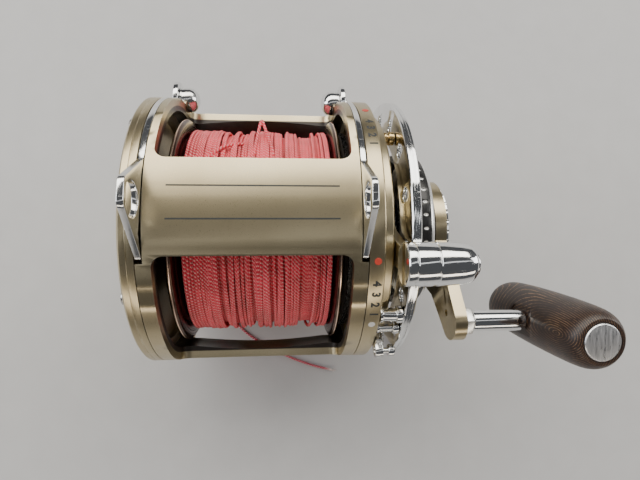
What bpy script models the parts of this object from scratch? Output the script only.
"""Lever-drag trolling reel: one-piece frame, harness plates, spool of braided line,
geared drive with a handle on the spool's own axis, drag lever with quadrant ring,
preset dial, clicker, and a loose tail of line.

Metres, +Z up. X is the spool axis (handle side +X), +Y points forward, to the rod tip.
The origin is the middle of the foot's flat underside. Angles called "clock" run about
the spool axis from straight up (+Z) towards forward (+Y), in degrees.
"""
from math import cos, hypot, pi, radians, sin, sqrt

import bmesh
import bpy
from mathutils import Matrix, Vector
from mathutils.geometry import interpolate_bezier

MM = 0.001
GAP = 0.0003                    # clearance between touching pieces

AXIS_Z = 72 * MM                # spool axis above the foot's underside
SEG_BIG, SEG_MID, SEG_SMALL = 48, 32, 14

# frame
FRAME_R, FRAME_R_IN = 60 * MM, 54.5 * MM
FRAME_HALF = 41.0 * MM          # half length, end face to end face
WINDOW_HALF = 35.7 * MM         # half width of every window
WINDOW_CORNER = 4 * MM
WINDOWS = ((15.7, 92.6), (108, 155), (205, 252), (268.5, 341.3))   # clock, from and to
REBATE_HALF = 38.4 * MM         # floor of the rebate that takes a harness plate
REBATE_R = 54.9 * MM
REBATE_CLOCK = (-21.3, 98)

# harness plates
PLATE_X = (38.7 * MM, 41.0 * MM)
PLATE_R_IN = 55.3 * MM
PLATE_CLOCK = (-19.8, 97.0)
LUG_TIP_R, LUG_CLOCK = 76.5 * MM, -0.6
LUG_HOLE_R, LUG_HOLE_AT, LUG_HOLE_CLOCK = 6.3 * MM, 68.5 * MM, -1.4
LUG_FRONT_CLOCK = 15.4
EAR_CLOCK, EAR_AT, EAR_HOLE_R = 86.0, 63.5 * MM, 3.0 * MM
BRACE_NUT_R, BRACE_STUD_R = 5.8 * MM, 2.5 * MM

# side plates
LEFT_FACE, RIGHT_STEP, RIGHT_FACE = -46.85 * MM, 47.35 * MM, 51.95 * MM
HOUSING_R, CAVITY_R = 54 * MM, 50.6 * MM
WALL = 2.5 * MM

# spool and line
FLANGE_R, FLANGE_OUT = 51 * MM, 34 * MM
PACK_R, PACK_HALF = 44 * MM, 29.8 * MM
ARBOR_R, SHAFT_R = 16 * MM, 4.0 * MM
LINE_D = 1.35 * MM

# gear train: drive pinion and lay gear, lay pinion and handle gear, on one centre distance
MODULE = 1.5 * MM
TEETH_PINION, TEETH_LAY, TEETH_LAY_PINION, TEETH_HANDLE = 16, 24, 14, 26
CENTRES = MODULE * (TEETH_PINION + TEETH_LAY) / 2
LAY_CLOCK = 150.0
LAY_SHAFT_R = 3.0 * MM
STAGE_1, STAGE_2 = (39.6 * MM, 42.2 * MM), (43.0 * MM, 45.4 * MM)

# anti-reverse ratchet; the pawl rests lifted clear of the wheel
RATCHET_TEETH, RATCHET_X = 12, (46.0 * MM, 48.2 * MM)
RATCHET_TIP_R, RATCHET_ROOT_R = 17 * MM, 13.5 * MM
PAWL_CLOCK, PAWL_PIVOT_AT, PAWL_PIN_R = 60.0, 27 * MM, 2.0 * MM
PAWL_NOSE_AT = 15.6 * MM
PAWL_LIFT = 15.5                # degrees, from the tooth gap to the place of rest

# clicker
CLICK_CLOCK, CLICK_TEETH = 225.0, 16
CLICK_ROOT_R, CLICK_TIP_R = 10.2 * MM, 12.6 * MM

# drag lever and quadrant
LEVER_X = (52.4 * MM, 56.2 * MM)
LEVER_HUB_R, LEVER_CLOCK = 33 * MM, -20.0
KNOB_AT, KNOB_R = 68.4 * MM, 7.7 * MM
QUAD_X, QUAD_R, QUAD_R_IN = (56.7 * MM, 60.4 * MM), 60 * MM, 43 * MM
QUAD_HOLES, QUAD_HOLE_AT, QUAD_HOLE_R = 16, 51.8 * MM, 3.0 * MM
QUAD_HOLE_FIRST = 50.0
LOCK_AT, LOCK_CLOCK, LOCK_STEM_R = 62.6 * MM, -63.0, 1.2 * MM
POSTS = (("quadrant_post_rear", 57.3 * MM, -54.0, 1.5 * MM, "chrome"),
         ("strike_stop", 50.6 * MM, 38.7, 2.0 * MM, "brass"),
         ("quadrant_post_front", 57.3 * MM, 112.0, 1.5 * MM, "chrome"),
         ("quadrant_post_lower", 57.3 * MM, 196.0, 1.5 * MM, "chrome"),
         ("free_stop", 57.3 * MM, -45.5, 2.6 * MM, "chrome"))

# preset dial
DIAL_X, DIAL_R = (62.0 * MM, 74.2 * MM), 36 * MM

# handle
ARM_X = (78.6 * MM, 83.8 * MM)
ARM_LENGTH, ARM_CLOCK = 52.9 * MM, -57.2
ARM_HUB_R, ARM_END_R, ARM_OFFSET = 23.5 * MM, 7.8 * MM, 1.2 * MM
ARM_TAPER = ((25 * MM, 12.2 * MM), (10 * MM, 16.5 * MM))      # reach and half width, near the hub
SLEEVE_R = 7.0 * MM
STUB_R, GRIP_X = 4.45 * MM, 123.3 * MM
GRIP_HALF, GRIP_R, GRIP_PLUG_R = 33.5 * MM, 12.5 * MM, 7.0 * MM
GRIP_LEAN = 12.5                # degrees, top of the grip towards the rear

# line tail, from the underside of the pack to its cut end on the ground
TAIL_ROUTE = ((-24, -25.6, 34.6), (-23.6, -28.6, 28.6), (-22.9, -32.6, 21.0), (-21.9, -37.2, 12.6),
              (-20.6, -41.8, 5.6), (-18.6, -46.2, 1.5), (-15.0, -50.4, 0.7), (-7.6, -56.4, 0.7),
              (3.6, -62.8, 0.7), (15.4, -68.8, 0.7), (28.2, -73.6, 0.7), (41.0, -77.0, 0.7))

COLOURS = {
    "gold": ((0.60, 0.54, 0.42), 0.32, 1.0), "chrome": ((0.86, 0.87, 0.88), 0.12, 1.0),
    "steel": ((0.62, 0.62, 0.62), 0.3, 1.0), "brass": ((0.62, 0.48, 0.24), 0.3, 1.0),
    "bronze": ((0.10, 0.06, 0.05), 0.35, 1.0), "black": ((0.02, 0.02, 0.022), 0.4, 0.0),
    "wood": ((0.10, 0.045, 0.03), 0.4, 0.0), "line": ((0.75, 0.16, 0.17), 0.7, 0.0),
    "fibre": ((0.05, 0.05, 0.05), 0.8, 0.0), "aluminium": ((0.72, 0.72, 0.72), 0.4, 1.0),
}


def clear_scene():
    for obj in list(bpy.data.objects):
        bpy.data.objects.remove(obj, do_unlink=True)


def polar(radius, clock):
    """Y and Z, above the ground, of a point at a radius and a clock angle."""
    a = radians(clock)
    return radius * sin(a), AXIS_Z + radius * cos(a)


def link_object(name, data, finish):
    """Put a mesh or curve into the scene as a named object with its own material."""
    colour, roughness, metallic = COLOURS[finish]
    mat = bpy.data.materials.new(name + "_" + finish)
    mat.use_nodes = True
    shader = mat.node_tree.nodes["Principled BSDF"]
    shader.inputs["Base Color"].default_value = (*colour, 1)
    shader.inputs["Roughness"].default_value = roughness
    shader.inputs["Metallic"].default_value = metallic
    data.materials.append(mat)
    obj = bpy.data.objects.new(name, data)
    bpy.context.scene.collection.objects.link(obj)
    return obj


def finish_object(name, mesh, finish, smooth=True):
    if smooth:
        mesh.shade_smooth()
        mesh.set_sharp_from_angle(angle=radians(35))
    return link_object(name, mesh, finish)


def mesh_from(bm, name):
    bmesh.ops.recalc_face_normals(bm, faces=bm.faces)
    mesh = bpy.data.meshes.new(name)
    bm.to_mesh(mesh)
    bm.free()
    return mesh


def lathe_mesh(name, profile, segments, centre=(0.0, AXIS_Z)):
    """Turn a closed outline of (x, radius) points about a line along X through centre.

    Where a point has radius 0, its ring is one vertex."""
    bm = bmesh.new()
    rings = []
    for x, radius in profile:
        if radius < 1e-7:
            rings.append([bm.verts.new((x, centre[0], centre[1]))])
            continue
        ring = []
        for i in range(segments):
            a = 2 * pi * i / segments
            ring.append(bm.verts.new((x, centre[0] + radius * sin(a), centre[1] + radius * cos(a))))
        rings.append(ring)
    for ring, following in zip(rings, rings[1:] + rings[:1]):
        for i in range(segments):
            j = (i + 1) % segments
            if len(ring) == 1 and len(following) == 1:
                break
            if len(ring) == 1:
                bm.faces.new((ring[0], following[j], following[i]))
            elif len(following) == 1:
                bm.faces.new((ring[i], ring[j], following[0]))
            else:
                bm.faces.new((ring[i], ring[j], following[j], following[i]))
    return mesh_from(bm, name)


def lathe(name, profile, finish, segments=SEG_MID, centre=(0.0, AXIS_Z)):
    return finish_object(name, lathe_mesh(name, profile, segments, centre), finish)


def tube_profile(x0, x1, r_in, r_out):
    return [(x0, r_out), (x1, r_out), (x1, r_in), (x0, r_in)]


def rod_profile(x0, x1, radius):
    return [(x0, 0.0), (x0, radius), (x1, radius), (x1, 0.0)]


def prism_mesh(name, outline, x0, x1):
    """Extrude an outline of (y, z) points along X."""
    bm = bmesh.new()
    verts = [bm.verts.new((x0, y, z)) for y, z in outline]
    face = bm.faces.new(verts)
    moved = bmesh.ops.extrude_face_region(bm, geom=[face])["geom"]
    far_verts = [v for v in moved if isinstance(v, bmesh.types.BMVert)]
    bmesh.ops.translate(bm, vec=(x1 - x0, 0, 0), verts=far_verts)
    return mesh_from(bm, name)


def prism(name, outline, x0, x1, finish):
    return finish_object(name, prism_mesh(name, outline, x0, x1), finish)


def arc(radius, clock_from, clock_to, count, centre=(0.0, AXIS_Z)):
    """Points of (y, z) along an arc about a line along X."""
    points = []
    for i in range(count + 1):
        a = radians(clock_from + (clock_to - clock_from) * i / count)
        points.append((centre[0] + radius * sin(a), centre[1] + radius * cos(a)))
    return points


def boolean(obj, mesh, operation="DIFFERENCE"):
    """Cut a mesh out of an object, or join it on, with an exact Boolean."""
    tool = bpy.data.objects.new(obj.name + "_tool", mesh)
    bpy.context.scene.collection.objects.link(tool)
    tool.hide_render = True
    tool.display_type = "WIRE"
    mod = obj.modifiers.new("boolean", "BOOLEAN")
    mod.operation = operation
    mod.solver = "EXACT"
    mod.object = tool
    return tool


def drill(obj, x0, x1, radius, centre, segments=SEG_SMALL):
    boolean(obj, lathe_mesh("drill", rod_profile(x0, x1, radius), segments, centre))


def window_cutter(clock_from, clock_to):
    """A sector block with its four radial edges rounded, as wide as a window."""
    count = max(4, round((clock_to - clock_from) / 7.5))
    outline = arc(70 * MM, clock_from, clock_to, count) + arc(48 * MM, clock_to, clock_from, count)
    mesh = prism_mesh("window", outline, -WINDOW_HALF, WINDOW_HALF)
    bm = bmesh.new()
    bm.from_mesh(mesh)
    corners = []
    for edge in bm.edges:
        a, b = edge.verts[0].co, edge.verts[1].co
        radial = abs(hypot(a.y, a.z - AXIS_Z) - hypot(b.y, b.z - AXIS_Z)) > 10 * MM
        if radial and abs(a.x - b.x) < 1e-6:
            corners.append(edge)
    bmesh.ops.bevel(bm, geom=corners, offset=WINDOW_CORNER, segments=3, affect="EDGES", profile=0.5)
    return mesh_from(bm, "window")


def build_frame():
    """One-piece frame: a barrel with windows, end rebates and notches for the brace nuts."""
    frame = lathe("frame", tube_profile(-FRAME_HALF, FRAME_HALF, FRAME_R_IN, FRAME_R), "gold", SEG_BIG)
    for span in WINDOWS:
        boolean(frame, window_cutter(*span))
    for side in (-1, 1):
        count = 14
        outline = arc(63 * MM, *REBATE_CLOCK, count) + arc(REBATE_R, *reversed(REBATE_CLOCK), count)
        boolean(frame, prism_mesh("rebate", outline, side * REBATE_HALF, side * (FRAME_HALF + MM)))
        drill(frame, side * 30 * MM, side * (REBATE_HALF + GAP), BRACE_NUT_R + 2 * GAP,
              polar(EAR_AT, EAR_CLOCK))
    return frame


def plate_outline():
    """Harness plate: an arc of strip with a lug on top and a brace ear at the front."""
    points = arc(PLATE_R_IN, PLATE_CLOCK[1], PLATE_CLOCK[0], 14)
    points += [polar(FRAME_R, PLATE_CLOCK[0])]
    points += arc(LUG_TIP_R - 3 * MM, LUG_CLOCK - 6.4, LUG_CLOCK - 5.0, 1)
    points += arc(LUG_TIP_R, LUG_CLOCK - 2.6, LUG_CLOCK + 2.6, 2)
    points += arc(LUG_TIP_R - 3 * MM, LUG_CLOCK + 5.0, LUG_CLOCK + 6.4, 1)
    points += [polar(FRAME_R, LUG_FRONT_CLOCK)]
    points += arc(FRAME_R, 19, 74, 8)
    points += arc(8.4 * MM, -60, 120, 8, polar(EAR_AT, EAR_CLOCK))
    points += [polar(FRAME_R, PLATE_CLOCK[1])]
    return points


def build_harness_plates():
    for name, side in (("left", -1), ("right", 1)):
        faces = side * PLATE_X[0], side * PLATE_X[1]
        plate = prism(name + "_harness_plate", plate_outline(), *faces, "chrome")
        holes = side * 36 * MM, side * 43 * MM
        drill(plate, *holes, LUG_HOLE_R, polar(LUG_HOLE_AT, LUG_HOLE_CLOCK), 16)
        drill(plate, *holes, EAR_HOLE_R, polar(EAR_AT, EAR_CLOCK))
        inner = PLATE_X[0] - GAP
        profile = [(side * 31.7 * MM, 0), (side * 32.3 * MM, 3.4 * MM), (side * 34.0 * MM, 5.2 * MM),
                   (side * 35.6 * MM, BRACE_NUT_R), (side * inner, BRACE_NUT_R),
                   (side * inner, BRACE_STUD_R), (side * 42.4 * MM, BRACE_STUD_R), (side * 42.8 * MM, 0)]
        lathe(name + "_brace_nut", profile, "chrome", SEG_SMALL, polar(EAR_AT, EAR_CLOCK))


def build_side_plates():
    inner = -(FRAME_HALF + GAP)
    wall = LEFT_FACE + WALL
    left = lathe("left_side_plate", [
        (inner, FRAME_R), (LEFT_FACE + 0.6 * MM, FRAME_R), (LEFT_FACE, FRAME_R - 0.6 * MM),
        (LEFT_FACE, 9.8 * MM), (-42.0 * MM, 9.8 * MM), (-42.0 * MM, 13 * MM), (wall, 13 * MM),
        (wall, CAVITY_R), (inner, CAVITY_R)], "gold", SEG_BIG)
    inner, wall = -inner, RIGHT_FACE - WALL
    right = lathe("right_side_plate", [
        (inner, FRAME_R), (RIGHT_STEP, FRAME_R), (RIGHT_STEP, HOUSING_R), (RIGHT_FACE, HOUSING_R),
        (RIGHT_FACE, 11.3 * MM), (wall, 11.3 * MM), (wall, CAVITY_R), (inner, CAVITY_R)], "gold", SEG_BIG)
    return left, right


def build_foot(frame):
    """Rod foot: a long flat shoe whose saddle fits under the frame, held by four screws."""
    half_saddle, count = 18 * MM, 6
    saddle = []
    for i in range(count + 1):
        y = half_saddle - 2 * half_saddle * i / count
        saddle.append((y, AXIS_Z - sqrt((FRAME_R + 2 * GAP) ** 2 - y * y)))
    outline = [(-45 * MM, 0), (45 * MM, 0), (45 * MM, 1.6 * MM), (22 * MM, 4.6 * MM)] + saddle
    outline += [(-22 * MM, 4.6 * MM), (-45 * MM, 1.6 * MM)]
    mesh = prism_mesh("reel_foot", outline, -14 * MM, 14 * MM)
    foot = finish_object("reel_foot", mesh, "gold", smooth=False)
    number = 0
    for x in (-8 * MM, 8 * MM):
        for y in (-9 * MM, 9 * MM):
            number += 1
            place = Matrix.Translation((x, y, 0)) @ Matrix.Rotation(-pi / 2, 4, "Y")
            for target in (foot, frame):
                hole = lathe_mesh("hole", rod_profile(4 * MM, 22 * MM, 1.8 * MM + GAP), 10, (0, 0))
                hole.transform(place)
                boolean(target, hole)
            top = AXIS_Z - sqrt(FRAME_R_IN ** 2 - y * y) + 1.2 * MM
            screw = lathe_mesh("foot_screw", [(4.4 * MM, 0), (4.4 * MM, 1.8 * MM), (top, 1.8 * MM),
                                              (top, 3.2 * MM), (top + 1.4 * MM, 2.6 * MM),
                                              (top + 1.4 * MM, 0)], 10, (0, 0))
            screw.transform(place)
            finish_object("foot_screw_%d" % number, screw, "steel")


def build_spool():
    """Spool with dished flanges, its packed line, shaft, click wheel and friction washer."""
    bore = SHAFT_R + GAP
    half = [(-FLANGE_OUT, FLANGE_R - 2.4 * MM), (-FLANGE_OUT + MM, FLANGE_R),
            (-FLANGE_OUT + 2 * MM, FLANGE_R), (-PACK_HALF - GAP, PACK_R - 0.5 * MM),
            (-PACK_HALF, ARBOR_R)]
    hub = [(FLANGE_OUT, bore), (-38.3 * MM, bore), (-38.3 * MM, 7.0 * MM), (-FLANGE_OUT, 7.0 * MM)]
    lathe("spool", hub + half + [(-x, r) for x, r in reversed(half)], "bronze", SEG_BIG)
    edge = PACK_HALF - GAP
    lathe("line_pack", [(-edge, ARBOR_R + GAP), (-edge, PACK_R - 2 * MM), (-edge + MM, PACK_R),
                        (edge - MM, PACK_R), (edge, PACK_R - 2 * MM), (edge, ARBOR_R + GAP)],
          "line", SEG_BIG)
    lathe("spool_shaft", rod_profile(-46.4 * MM, 60 * MM, SHAFT_R), "steel", 16)
    lathe("drag_washer", tube_profile(34.3 * MM, 35.7 * MM, 22 * MM, 46 * MM), "fibre", SEG_MID)


def gear_outline(teeth, phase, centre):
    """Gear outline with narrow flat-topped teeth, four points a tooth."""
    pitch = teeth * MODULE / 2
    root, tip = pitch - 1.15 * MODULE, pitch + 0.75 * MODULE
    points = []
    step = 360.0 / teeth
    for i in range(teeth):
        mid = phase + i * step
        for radius, share in ((root, -0.25), (tip, -0.105), (tip, 0.105), (root, 0.25)):
            a = radians(mid + share * step)
            points.append((centre[0] + radius * sin(a), centre[1] + radius * cos(a)))
    return points


def build_gears(right_plate):
    """Drive pinion on the spool's axis, a cluster gear on the lay shaft, the handle's gear."""
    lathe("drag_plate", [(36.0 * MM, 4.4 * MM), (36.0 * MM, 46 * MM), (38.6 * MM, 46 * MM),
                         (38.6 * MM, 7.0 * MM), (42.4 * MM, 7.0 * MM), (42.4 * MM, 4.4 * MM)],
          "steel", SEG_MID)
    axis, lay = (0.0, AXIS_Z), polar(CENTRES, LAY_CLOCK)
    pinion = prism("drive_pinion", gear_outline(TEETH_PINION, LAY_CLOCK, axis), *STAGE_1, "steel")
    drill(pinion, STAGE_1[0] - MM, STAGE_1[1] + MM, 7.0 * MM + GAP, axis, 16)
    gap_phase = LAY_CLOCK + 180 + 180.0 / TEETH_LAY
    cluster = prism("lay_gear", gear_outline(TEETH_LAY, gap_phase, lay), *STAGE_1, "steel")
    small = gear_outline(TEETH_LAY_PINION, LAY_CLOCK + 180, lay)
    boolean(cluster, prism_mesh("lay_pinion", small, STAGE_1[1] - 0.5 * MM, STAGE_2[1]), "UNION")
    drill(cluster, STAGE_1[0] - MM, STAGE_2[1] + MM, LAY_SHAFT_R + GAP, lay)
    gap_phase = LAY_CLOCK + 180.0 / TEETH_HANDLE
    main = prism("handle_gear", gear_outline(TEETH_HANDLE, gap_phase, axis), *STAGE_2, "brass")
    drill(main, STAGE_2[0] - MM, STAGE_2[1] + MM, SLEEVE_R + GAP, axis, 16)
    lathe("lay_shaft", rod_profile(39.0 * MM, 50.6 * MM, LAY_SHAFT_R), "steel", SEG_SMALL, lay)
    drill(right_plate, 48.0 * MM, 50.9 * MM, LAY_SHAFT_R + GAP, lay)


def build_ratchet(right_plate):
    """Anti-reverse ratchet on the handle's sleeve, its pawl and the pin the pawl swings on."""
    step = 360.0 / RATCHET_TEETH
    points = []
    for i in range(RATCHET_TEETH):
        start = PAWL_CLOCK + i * step
        points += [polar(RATCHET_TIP_R, start), polar(RATCHET_ROOT_R, start + 1)]
        points += [polar((RATCHET_TIP_R + RATCHET_ROOT_R) / 2, start + step * 0.55)]
    x0, x1 = RATCHET_X
    wheel = prism("ratchet_wheel", points, x0, x1, "steel")
    drill(wheel, x0 - MM, x1 + MM, SLEEVE_R + GAP, (0.0, AXIS_Z), 16)
    pivot = Vector(polar(PAWL_PIVOT_AT, PAWL_CLOCK + 22))
    nose = Vector(polar(PAWL_NOSE_AT, PAWL_CLOCK + 8))
    heel = (pivot - nose).normalized()
    side = Vector((-heel.y, heel.x))
    engaged = [nose - side * 0.5 * MM, nose + side * 0.9 * MM]
    engaged += [Vector(p) for p in arc_around(pivot, 4.2 * MM, side, heel, 6)]
    lift = Matrix.Rotation(radians(-PAWL_LIFT), 2)
    outline = [tuple(pivot + lift @ (point - pivot)) for point in engaged]
    pawl = prism("anti_reverse_pawl", outline, x0, x1, "steel")
    drill(pawl, x0 - MM, x1 + MM, PAWL_PIN_R + GAP, pivot)
    lathe("pawl_pin", rod_profile(45.6 * MM, 50.6 * MM, PAWL_PIN_R), "steel", SEG_SMALL, pivot)
    drill(right_plate, 48.0 * MM, 50.9 * MM, PAWL_PIN_R + GAP, pivot)


def arc_around(centre, radius, start, onward, count):
    """Half circle of (y, z) points about centre, from start through onward to -start."""
    points = []
    for i in range(count + 1):
        a = pi * i / count
        p = Vector(centre) + (start * cos(a) + onward * sin(a)) * radius
        points.append((p.x, p.y))
    return points


def build_bearings():
    lathe("left_bearing", tube_profile(-46.6 * MM, -42.1 * MM, SHAFT_R + GAP, 9.5 * MM), "steel", 24)
    lathe("right_bearing", tube_profile(49.5 * MM, 51.9 * MM, SLEEVE_R + GAP, 11 * MM), "steel", 24)
    lathe("bearing_cap", [(-47.15 * MM, 0), (-47.15 * MM, 15 * MM), (-49.2 * MM, 15 * MM),
                          (-50.2 * MM, 13.6 * MM), (-50.2 * MM, 0)], "chrome", SEG_MID)


def build_clicker(left_plate):
    """Clicker: a button in a slot in the left plate, its pawl, and the wheel it clicks on."""
    points = []
    for i in range(CLICK_TEETH):
        mid = 360.0 / CLICK_TEETH * (i + 0.5)
        points += [polar(CLICK_ROOT_R, mid - 5.5), polar(CLICK_TIP_R, mid - 2), polar(CLICK_TIP_R, mid + 2),
                   polar(CLICK_ROOT_R, mid + 5.5)]
    wheel = prism("click_wheel", points, -38.2 * MM, -35.4 * MM, "brass")
    drill(wheel, -40 * MM, -34 * MM, 7.0 * MM + GAP, (0.0, AXIS_Z), 16)
    out = Vector((0, sin(radians(CLICK_CLOCK)), cos(radians(CLICK_CLOCK))))
    across = Vector((0, out.z, -out.y))
    base = Vector((0, 0, AXIS_Z))

    def block(name, x0, x1, r0, r1, half):
        corners = [base + out * r0 - across * half, base + out * r1 - across * half,
                   base + out * r1 + across * half, base + out * r0 + across * half]
        return prism_mesh(name, [(c.y, c.z) for c in corners], x0, x1)

    boolean(left_plate, block("slot", -48 * MM, -43.5 * MM, 27.6 * MM, 36.4 * MM, 2.3 * MM))
    button = lathe("clicker_button", [(-47.2 * MM, 0), (-47.2 * MM, 5.2 * MM), (-49.6 * MM, 5.2 * MM),
                                      (-50.4 * MM, 4.4 * MM), (-50.4 * MM, 0)], "chrome", 20,
                   polar(33.5 * MM, CLICK_CLOCK))
    boolean(button, block("stem", -47.6 * MM, -43.2 * MM, 31.0 * MM, 36.0 * MM, 1.9 * MM), "UNION")
    arm = block("click_pawl", -42.9 * MM, -41.3 * MM, 18 * MM, 36 * MM, 3.4 * MM)
    pawl = finish_object("click_pawl", arm, "steel")
    boolean(pawl, block("click_nose", -41.6 * MM, -35.8 * MM, 13.4 * MM, 19.5 * MM, 0.8 * MM), "UNION")


def build_quadrant():
    """Quadrant ring with its detent holes, grooved rim, posts and stops."""
    mid = (QUAD_X[0] + QUAD_X[1]) / 2
    ring = lathe("quadrant_ring", [
        (QUAD_X[0], QUAD_R_IN), (QUAD_X[0], QUAD_R), (mid - 0.5 * MM, QUAD_R), (mid, QUAD_R - 0.8 * MM),
        (mid + 0.5 * MM, QUAD_R), (QUAD_X[1], QUAD_R), (QUAD_X[1], QUAD_R_IN)], "chrome", SEG_BIG)
    for i in range(QUAD_HOLES):
        centre = polar(QUAD_HOLE_AT, QUAD_HOLE_FIRST + 360.0 * i / QUAD_HOLES)
        drill(ring, QUAD_X[0] - MM, QUAD_X[1] + MM, QUAD_HOLE_R, centre, 10)
    for name, radius, clock, r, finish in POSTS:
        end = QUAD_X[0] - GAP
        start = (RIGHT_STEP if radius > HOUSING_R + r else RIGHT_FACE) + GAP
        lathe(name, [(start, 0), (start, r), (end - MM, r), (end - MM, r + 0.8 * MM),
                     (end, r + 0.8 * MM), (end, 0)], finish, 12, polar(radius, clock))
    centre = polar(LOCK_AT, LOCK_CLOCK)
    lathe("free_lock_button", [(48.4 * MM, 0), (48.4 * MM, LOCK_STEM_R), (53.2 * MM, LOCK_STEM_R),
                               (53.2 * MM, 2.6 * MM), (55.4 * MM, 2.6 * MM), (56.1 * MM, 1.6 * MM),
                               (56.1 * MM, 0)], "chrome", 12, centre)
    outline = arc(HOUSING_R + 0.8 * MM, LOCK_CLOCK - 3.4, LOCK_CLOCK + 3.4, 2)
    outline += arc_around(centre, 2.9 * MM, *lock_directions(), 6)
    bracket = prism("lock_bracket", outline, RIGHT_STEP + GAP, 50.8 * MM, "chrome")
    drill(bracket, 47 * MM, 52 * MM, LOCK_STEM_R + GAP, centre, 12)


def lock_directions():
    """Across and outward, in Y and Z, at the lock button's clock angle."""
    out = Vector((sin(radians(LOCK_CLOCK)), cos(radians(LOCK_CLOCK))))
    return Vector((out.y, -out.x)), out


def build_lever():
    """Drag lever: hub disc and arm in one, knob on the arm's eye, and the cam it turns."""
    eye = polar(KNOB_AT, LEVER_CLOCK)
    lever = prism("drag_lever", arc(LEVER_HUB_R, 0, 360 - 10, 35), *LEVER_X, "gold")
    half = 4.0 * MM
    out = Vector((sin(radians(LEVER_CLOCK)), cos(radians(LEVER_CLOCK))))
    across = Vector((out.y, -out.x))
    base = Vector((0.0, AXIS_Z))
    corners = [base + out * 30 * MM - across * half * 1.7, base + out * 64 * MM - across * half,
               base + out * 64 * MM + across * half, base + out * 30 * MM + across * half * 1.7]
    arm = prism_mesh("lever_arm", [tuple(c) for c in corners], LEVER_X[0] + 0.2 * MM, LEVER_X[1] - 0.2 * MM)
    boolean(lever, arm, "UNION")
    boolean(lever, lathe_mesh("lever_eye", rod_profile(51.2 * MM, LEVER_X[1], KNOB_R), 20, eye), "UNION")
    drill(lever, 50 * MM, 58 * MM, SLEEVE_R + 0.6 * MM, (0.0, AXIS_Z), 16)
    lathe("lever_knob", [(56.5 * MM, 0), (56.5 * MM, KNOB_R), (64.5 * MM, KNOB_R), (75.4 * MM, 6.8 * MM),
                         (75.8 * MM, 0)], "chrome", 20, eye)
    lathe("lever_knob_screw", [(76.1 * MM, 0), (76.1 * MM, 4.5 * MM), (77.3 * MM, 3.9 * MM),
                               (78.3 * MM, 0)], "chrome", 16, eye)
    lathe("lever_cam", tube_profile(56.6 * MM, 61.2 * MM, SLEEVE_R + 0.6 * MM, 20 * MM), "steel", 24)


def build_dial():
    """Preset dial: a drum with an open back, its spring washer and thrust bearing."""
    x0, x1 = DIAL_X
    lathe("preset_dial", [(x0, DIAL_R - 3 * MM), (x0, DIAL_R), (x1 - 0.8 * MM, DIAL_R),
                          (x1, DIAL_R - 0.8 * MM), (x1, SLEEVE_R + 0.6 * MM),
                          (x1 - 3 * MM, SLEEVE_R + 0.6 * MM), (x1 - 3 * MM, DIAL_R - 3 * MM)],
          "black", SEG_MID)
    lathe("spring_washer", [(62.0 * MM, 8.2 * MM), (63.4 * MM, 17 * MM), (64.8 * MM, 17 * MM),
                            (63.4 * MM, 8.2 * MM)], "steel", 24)
    lathe("thrust_bearing", tube_profile(66.0 * MM, 70.6 * MM, SLEEVE_R + 0.6 * MM, 15 * MM), "steel", 24)


def build_handle():
    """Handle: sleeve, flat arm with a round hub, cap, nut and spindle, and the loose grip."""
    end = polar(ARM_LENGTH, ARM_CLOCK)
    lathe("handle_sleeve", tube_profile(42.9 * MM, 83.6 * MM, SHAFT_R + 0.4 * MM, SLEEVE_R), "steel", 20)
    arm = prism("handle_arm", arc(ARM_HUB_R, 0, 350, 35), *ARM_X, "gold")
    out = Vector((sin(radians(ARM_CLOCK)), cos(radians(ARM_CLOCK))))
    across = Vector((out.y, -out.x))
    base = Vector((0.0, AXIS_Z))
    outline = [tuple(base + out * reach + across * wide) for reach, wide in ARM_TAPER]
    outline += [tuple(base + out * reach - across * wide) for reach, wide in reversed(ARM_TAPER)]
    outline += arc_around(end, ARM_END_R, -across, out, 8)
    bar = prism_mesh("arm_bar", outline, *ARM_X)
    for vert in bar.vertices:
        reach = (Vector((vert.co.y, vert.co.z)) - base).dot(out)
        if reach > 30 * MM:
            vert.co.x += ARM_OFFSET
    boolean(arm, bar, "UNION")
    drill(arm, 77 * MM, 86 * MM, SLEEVE_R + GAP, (0.0, AXIS_Z), 20)
    lathe("handle_cap", [(84.1 * MM, 0), (84.1 * MM, 21.5 * MM), (85.4 * MM, 21.5 * MM),
                         (86.2 * MM, 20.4 * MM), (86.2 * MM, 9 * MM), (88.4 * MM, 8 * MM),
                         (88.4 * MM, 0)], "chrome", SEG_MID)
    x = ARM_X[1] + ARM_OFFSET + GAP
    nut = [(x, 0), (x, 6.0 * MM), (x + 3.8 * MM, 6.0 * MM), (x + 3.8 * MM, 0)]
    lathe("spindle_nut", nut, "chrome", 6, end)
    grip_start = GRIP_X - GRIP_R + 1.6 * MM
    lathe("grip_spindle", rod_profile(x + 4.1 * MM, grip_start - GAP, STUB_R), "chrome", 16, end)
    build_grip(end, grip_start)


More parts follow.
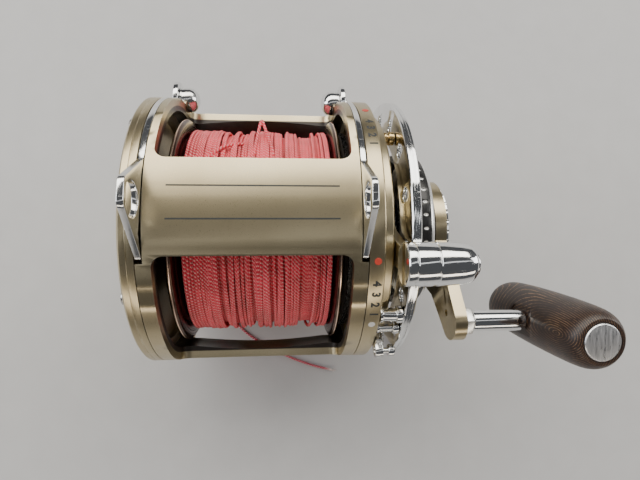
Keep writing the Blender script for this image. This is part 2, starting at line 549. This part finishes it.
def build_grip(end, flat_x):
    """Turned wooden grip across the spindle, with a flat where the spindle enters and end plugs."""
    profile = [(-GRIP_HALF, 0), (-GRIP_HALF, GRIP_PLUG_R + 1.2 * MM)]
    for along, radius in ((0.955, 10.2), (0.86, 11.5), (0.65, 12.2), (0.3, 12.5)):
        profile.append((-GRIP_HALF * along, radius * MM))
    profile += [(-x, r) for x, r in reversed(profile)]
    socket = 1.6 * MM
    place = (Matrix.Translation((GRIP_X, end[0], end[1])) @ Matrix.Rotation(radians(GRIP_LEAN), 4, "X")
             @ Matrix.Rotation(-pi / 2, 4, "Y"))
    mesh = lathe_mesh("grip", profile, 28, (0, 0))
    mesh.transform(place)
    grip = finish_object("grip", mesh, "wood")
    cut = prism_mesh("flat", arc(9 * MM, 0, 350, 20, end), flat_x - 6 * MM, flat_x)
    boolean(grip, cut)
    for name, side in (("grip_plug_lower", -1), ("grip_plug_upper", 1)):
        for piece, r, inside in (("recess", GRIP_PLUG_R + GAP, socket + GAP), (name, GRIP_PLUG_R, socket)):
            start, stop = side * (GRIP_HALF - inside), side * (GRIP_HALF + 0.5 * MM)
            plug = lathe_mesh(piece, rod_profile(start, stop, r), 20, (0, 0))
            plug.transform(place)
            if piece == "recess":
                boolean(grip, plug)
            else:
                finish_object(name, plug, "aluminium")


def build_plate_screws(left_plate):
    """Five round-headed screws that hold the left plate on."""
    for i in range(5):
        centre = polar(55.5 * MM, 36 + 72 * i)
        drill(left_plate, -48 * MM, -42 * MM, 1.5 * MM + GAP, centre, 10)
        lathe("plate_screw_%d" % (i + 1), [(-42.3 * MM, 0), (-42.3 * MM, 1.5 * MM), (-47.15 * MM, 1.5 * MM),
                                           (-47.15 * MM, 3.1 * MM), (-48.0 * MM, 2.9 * MM),
                                           (-48.7 * MM, 1.8 * MM), (-48.7 * MM, 0)], "steel", 12, centre)


def build_tail():
    """Loose end of the line: out of the pack's underside, down, and along the ground."""
    route = [Vector(p) * MM for p in TAIL_ROUTE]
    handles = []
    for i, point in enumerate(route):
        before, after = route[max(i - 1, 0)], route[min(i + 1, len(route) - 1)]
        handles.append((after - before) / 6 if 0 < i < len(route) - 1 else (after - before) / 3)
    points = []
    for i in range(len(route) - 1):
        stretch = interpolate_bezier(route[i], route[i] + handles[i], route[i + 1] - handles[i + 1],
                                     route[i + 1], 5)
        points += stretch[:-1]
    points.append(route[-1])
    curve = bpy.data.curves.new("line_tail", "CURVE")
    curve.dimensions = "3D"
    curve.bevel_depth = LINE_D / 2
    curve.bevel_resolution = 2
    curve.use_fill_caps = True
    spline = curve.splines.new("POLY")
    spline.points.add(len(points) - 1)
    for knot, point in zip(spline.points, points):
        knot.co = (point.x, point.y, max(point.z, LINE_D / 2), 1)
    link_object("line_tail", curve, "line")


clear_scene()
the_frame = build_frame()
build_harness_plates()
left, right = build_side_plates()
build_foot(the_frame)
build_spool()
build_gears(right)
build_ratchet(right)
build_bearings()
build_clicker(left)
build_plate_screws(left)
build_quadrant()
build_lever()
build_dial()
build_handle()
build_tail()
